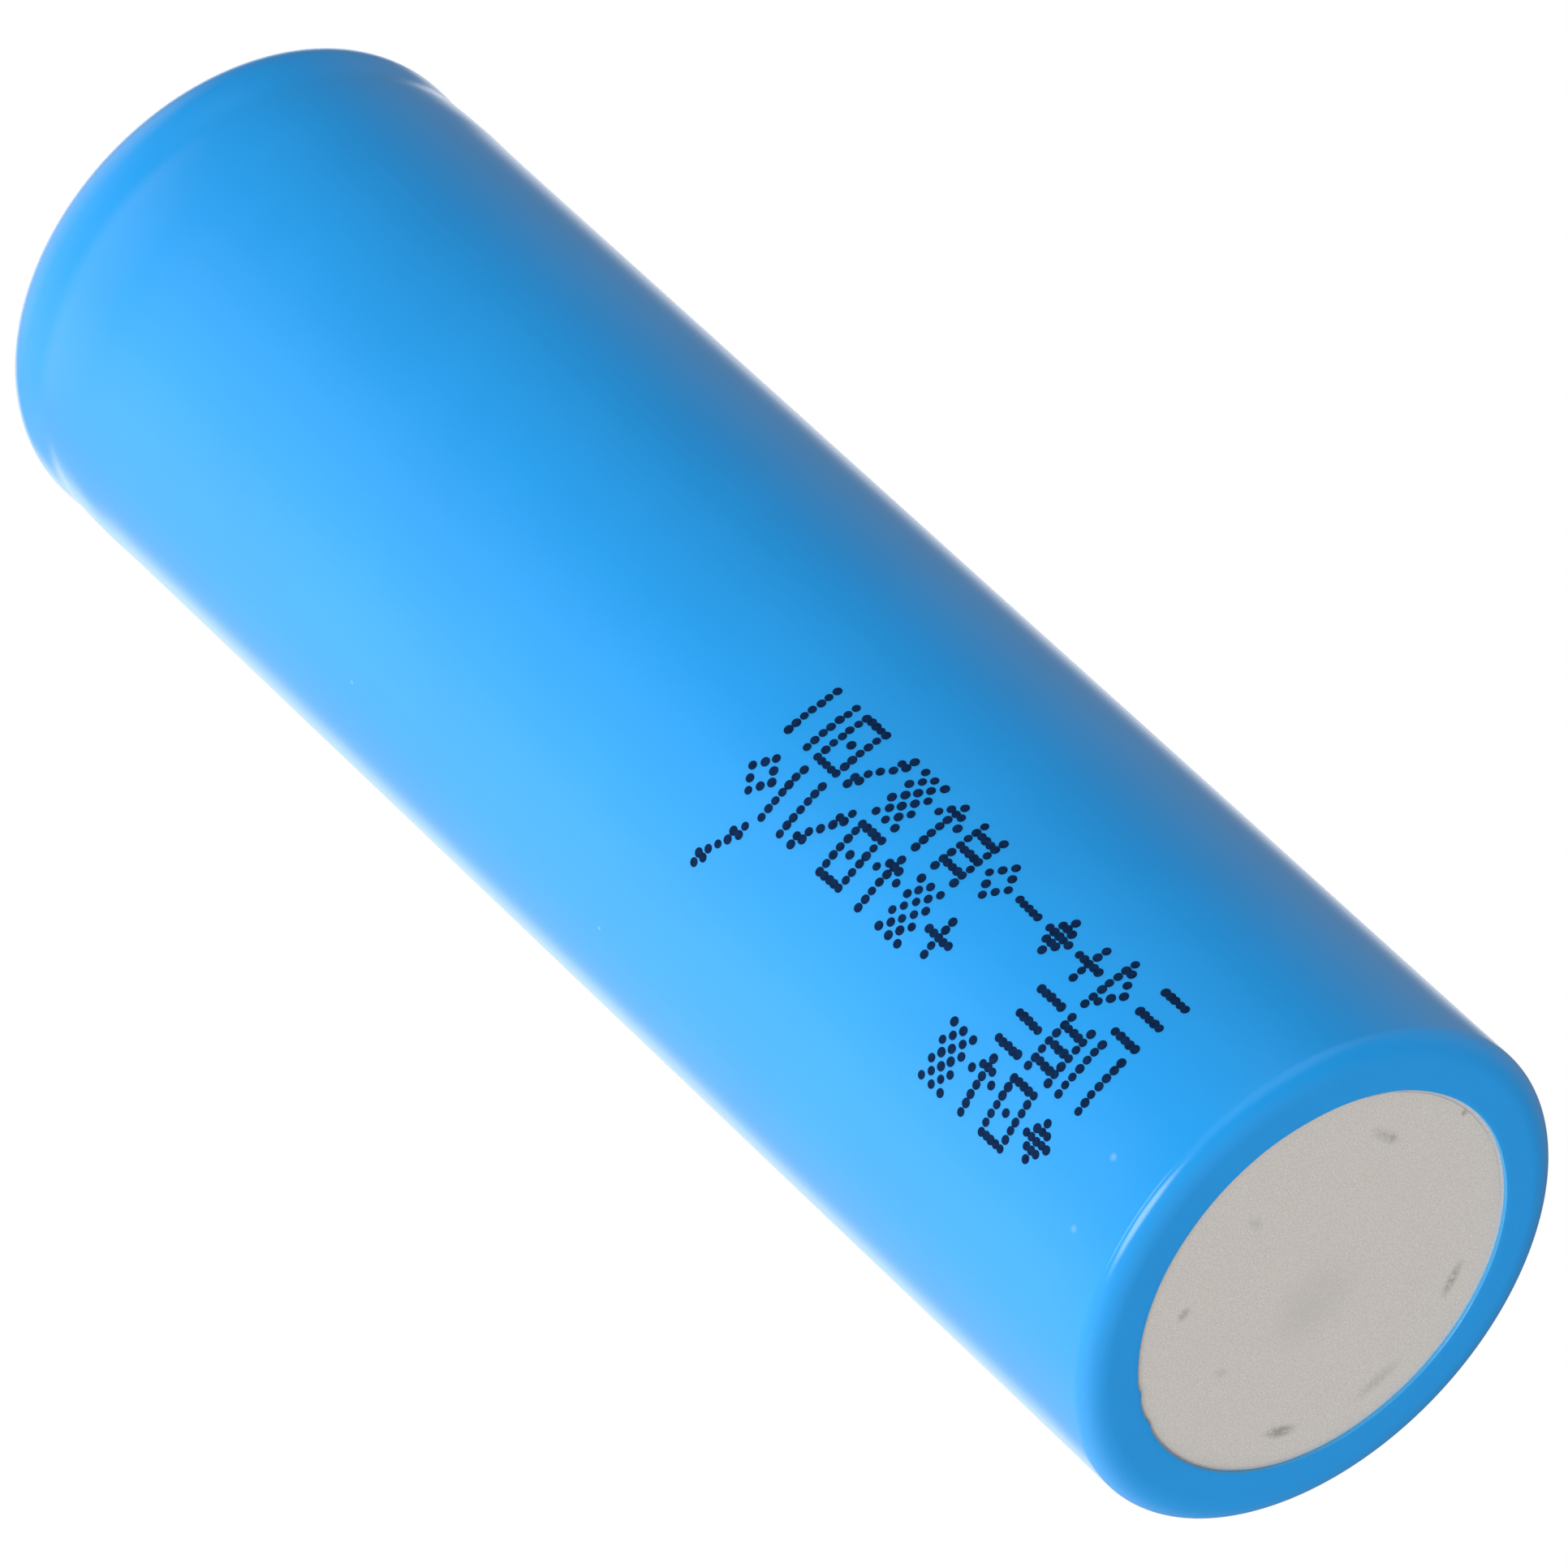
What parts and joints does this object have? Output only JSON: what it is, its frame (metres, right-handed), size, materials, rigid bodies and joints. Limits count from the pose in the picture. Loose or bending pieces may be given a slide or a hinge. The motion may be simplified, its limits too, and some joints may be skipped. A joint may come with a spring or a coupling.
{
  "type": "cylindrical battery cell",
  "caption": "Cylindrical lithium-ion cell with a flat positive terminal, in a sky-blue shrink sleeve that leaves the metal base bare.",
  "frame": {"origin": "centre of the underside of the sleeve's base lip, on the cell's axis", "axes": "+Z along the axis, from the bare negative base to the positive terminal; X and Y across it"},
  "size_m": [0.021, 0.021, 0.0707],
  "materials": {
    "film": "satin sky-blue heat-shrunk film",
    "fibre": "white vulcanised fibre",
    "nickel_plated_steel": "matte nickel plating, fine grain",
    "gasket_plastic": "translucent milky polypropylene",
    "terminal_steel": "satin nickel plating",
    "vent_aluminium": "satin",
    "ring_plastic": "moulded polypropylene",
    "plate_aluminium": "stamped, satin",
    "insulator_plastic": "die-cut polypropylene sheet",
    "tab_aluminium": "rolled strip",
    "amber_tape": "polyimide tape",
    "separator_film": "microporous film",
    "anode_coating": "graphite coating on copper foil",
    "cathode_coating": "nickel oxide coating on aluminium foil",
    "green_tape": "polypropylene tape",
    "pin_steel": "rolled stainless steel",
    "tab_nickel": "nickel strip"
  },
  "bodies": {
    "cell": {"sleeve": "film", "washer": "fibre", "can": "nickel_plated_steel", "gasket": "gasket_plastic", "terminal_cap": "terminal_steel", "vent_disc": "vent_aluminium", "interrupt_ring": "ring_plastic", "interrupt_plate": "plate_aluminium", "weld_disc": "plate_aluminium", "upper_insulator": "insulator_plastic", "positive_tab": "tab_aluminium", "positive_tab_tape": "amber_tape", "separator_inner": "separator_film", "anode": "anode_coating", "separator_outer": "separator_film", "cathode": "cathode_coating", "closing_tape": "green_tape", "centre_pin": "pin_steel", "lower_insulator": "insulator_plastic", "negative_tab_inner": "tab_nickel", "negative_tab_outer": "tab_nickel", "negative_tab_tape": "amber_tape"},
    "diaphragm": {"vent_diaphragm": "vent_aluminium"}
  },
  "joints": [
    {"name": "vent_snap", "type": "slide", "parent": "cell", "child": "diaphragm", "axis": [0, 0, 1], "range_m": [0, 0.0005]}
  ]
}
